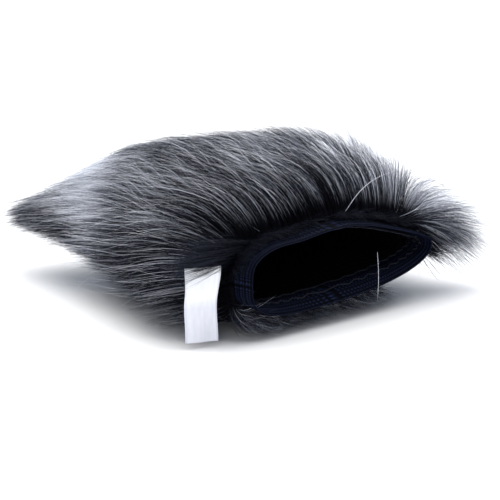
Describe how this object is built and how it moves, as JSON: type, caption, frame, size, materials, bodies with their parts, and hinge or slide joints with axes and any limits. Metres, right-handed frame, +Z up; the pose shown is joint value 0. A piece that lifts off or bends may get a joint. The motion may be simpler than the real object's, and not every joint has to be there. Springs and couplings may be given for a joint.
{
  "type": "furry windscreen",
  "caption": "Soft long-pile fur windscreen pouch with a ribbed elastic mouth and a small satin label, for a hand-held recorder or microphone.",
  "frame": {"origin": "centre of the outline at the floor the pouch lies on", "axes": "+Z up from the resting side, -Y out of the mouth, +Y towards the closed crown"},
  "size_m": [0.1245, 0.1332, 0.0562],
  "materials": {
    "grey_fur": "long pile, dark roots and silver tips",
    "black_lining": "matt knit",
    "black_elastic": "ribbed knit",
    "black_thread": "spun thread",
    "white_satin": "satin"
  },
  "bodies": {
    "pouch": {"fur_panel_top": "grey_fur", "fur_panel_bottom": "grey_fur", "lining_top": "black_lining", "lining_bottom": "black_lining", "side_seam_overlock": "black_thread", "elastic_cuff": "black_elastic", "cuff_join_bartack": "black_thread", "cuff_stitch_front": "black_thread", "cuff_stitch_back": "black_thread", "label_bartack": "black_thread"},
    "label": {"satin_label": "white_satin"}
  },
  "joints": [
    {"name": "label_flap", "type": "hinge", "parent": "pouch", "child": "label", "pos_m": [-0.05683, -0.05536, 0.02775], "axis": [-0.891, 0.454, 0], "range_deg": [0, 100]}
  ]
}
